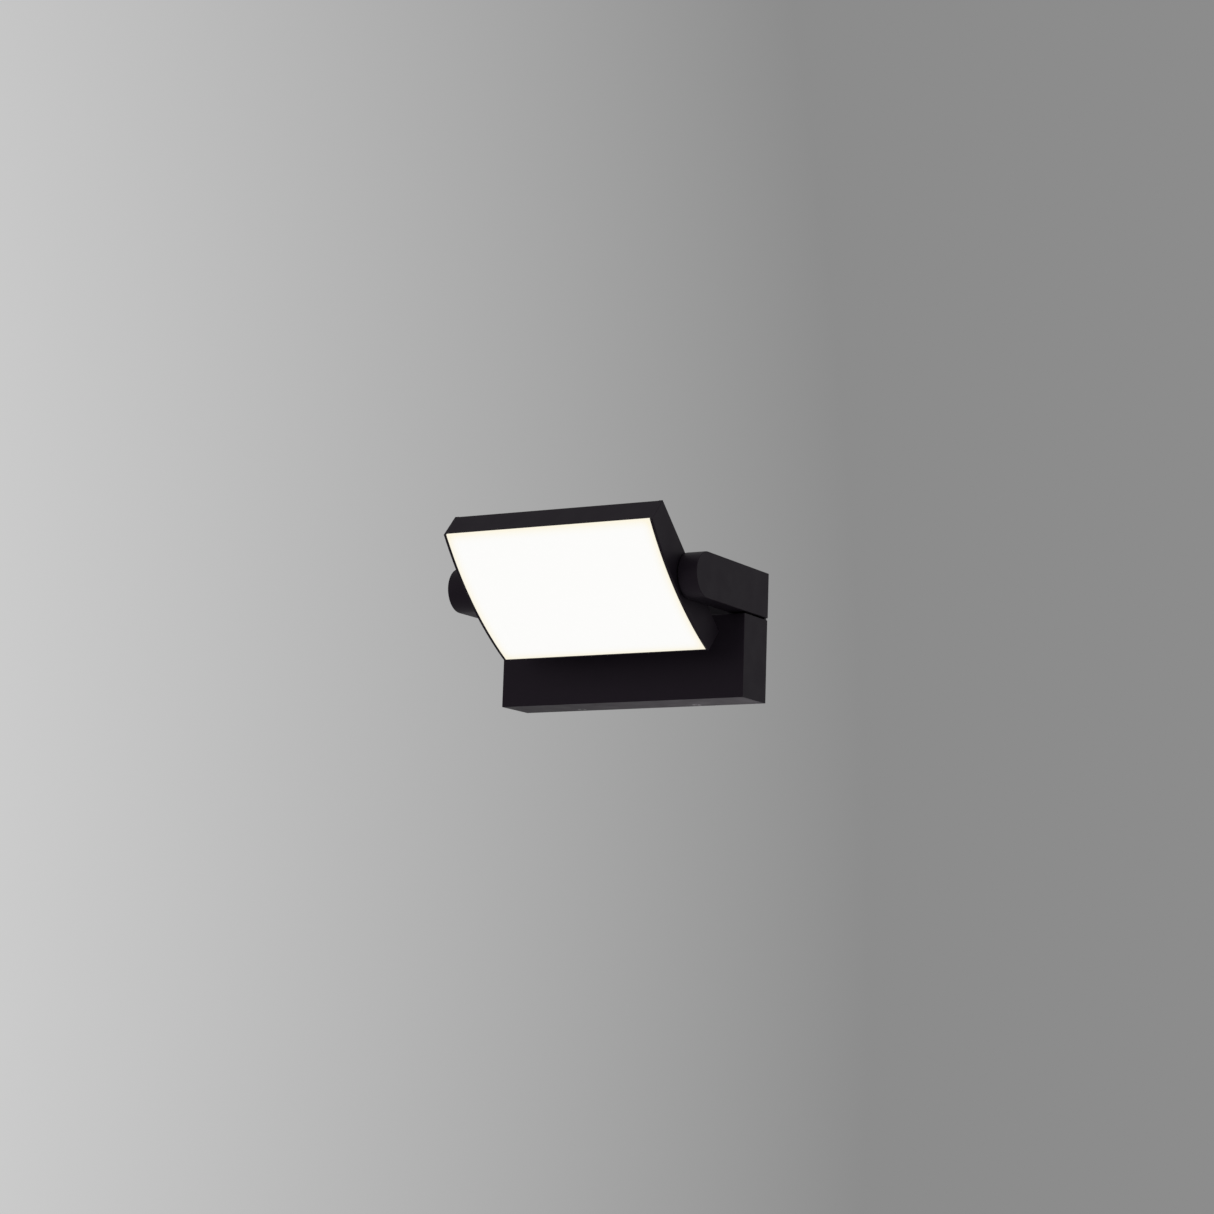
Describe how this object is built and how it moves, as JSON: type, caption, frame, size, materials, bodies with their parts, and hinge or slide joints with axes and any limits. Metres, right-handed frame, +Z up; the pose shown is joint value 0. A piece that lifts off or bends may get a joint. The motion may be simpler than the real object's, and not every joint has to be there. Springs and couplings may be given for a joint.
{
  "type": "picture light",
  "caption": "Wall picture light with a wide bowed lit panel that tilts between two round-nosed arms above a slim wall box, in matt black.",
  "frame": {"origin": "on the wall plane, at the centre of the wall box and of the line of the two wall screw slots", "axes": "+Z up, +X along the light to the right of a person who faces it, +Y into the wall, so the light stands out towards -Y"},
  "size_m": [0.225, 0.1608, 0.137],
  "materials": {
    "black_coat": "matt black powder coat on aluminium",
    "black_steel": "black coated steel sheet and socket screws",
    "zinc_screw": "zinc plated fasteners",
    "turned_steel": "turned and ground steel",
    "brass": "plain brass",
    "driver_case": "moulded polycarbonate case",
    "white_plastic": "moulded white plastic",
    "board_white": "white solder mask on an aluminium board",
    "led_phosphor": "phosphor in silicone",
    "opal_acrylic": "satin opal acrylic",
    "white_silicone": "translucent white silicone",
    "black_rubber": "moulded black rubber",
    "acetal": "machined black acetal",
    "friction_fibre": "resin bonded fibre",
    "lead_white": "white silicone insulation",
    "lead_brown": "brown wire insulation"
  },
  "bodies": {
    "wall_unit": {"wall_plate": "black_steel", "box_cover": "black_coat", "cover_screws": "black_steel", "led_driver": "driver_case", "driver_screws": "zinc_screw", "terminal_block": "white_plastic", "terminal_screws": "brass", "earth_screw": "brass", "entry_grommet": "black_rubber", "lead_grommet": "black_rubber", "input_leads": "lead_brown", "output_lead": "lead_white", "right_arm": "black_coat", "left_arm": "black_coat", "right_arm_lid": "black_coat", "left_arm_lid": "black_coat", "lid_screws": "black_steel", "arm_screws": "zinc_screw", "right_pivot_tube": "turned_steel", "tilt_stop_pin": "turned_steel", "left_pivot_bush": "acetal", "left_pivot_cover": "black_coat"},
    "lamp_head": {"left_pivot_stud": "turned_steel", "left_thrust_washer": "acetal", "friction_disc": "friction_fibre", "spring_washer": "turned_steel", "pivot_nut": "zinc_screw", "right_pivot_bush": "acetal", "head_housing": "black_coat", "right_end_cap": "black_coat", "left_end_cap": "black_coat", "end_cap_screws": "black_steel", "diffuser": "opal_acrylic", "diffuser_gasket": "white_silicone", "led_board": "board_white", "led_chips": "led_phosphor", "led_connector": "white_plastic", "reflector_tray": "white_plastic", "board_screws": "zinc_screw", "head_lead": "lead_white"}
  },
  "joints": [
    {"name": "head_tilt", "type": "hinge", "parent": "wall_unit", "child": "lamp_head", "pos_m": [0, -0.1025, 0.05275], "axis": [1, 0, 0], "range_deg": [-93, 72]}
  ]
}
